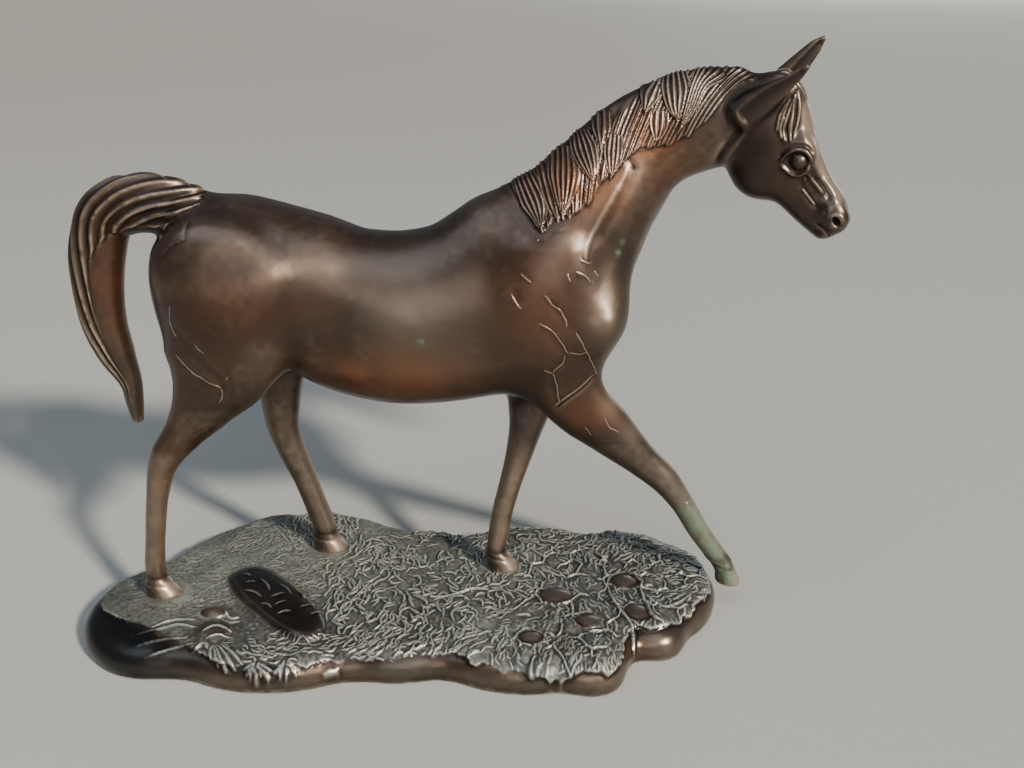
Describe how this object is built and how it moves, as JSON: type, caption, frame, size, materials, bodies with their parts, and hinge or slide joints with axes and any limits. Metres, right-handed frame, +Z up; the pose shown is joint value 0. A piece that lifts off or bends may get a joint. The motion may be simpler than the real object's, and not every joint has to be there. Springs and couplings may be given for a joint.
{
  "type": "bronze horse sculpture",
  "caption": "Cast bronze horse stepping forward with arched neck and raised tail, on a low irregular grass-textured plinth.",
  "frame": {"origin": "on the flat underside of the plinth, at the middle of the footprint's bounding box", "axes": "+X from tail to muzzle, +Z up, and -Y is the side on which the mane falls"},
  "size_m": [0.3654, 0.1511, 0.2829],
  "materials": {
    "horse_bronze": "dark brown patinated bronze with a satin polish",
    "plinth_bronze": "dark brown patinated bronze with dusty grey-green recesses and a rubbed rim"
  },
  "bodies": {
    "root": {"horse": "horse_bronze", "plinth": "plinth_bronze"}
  },
  "joints": []
}
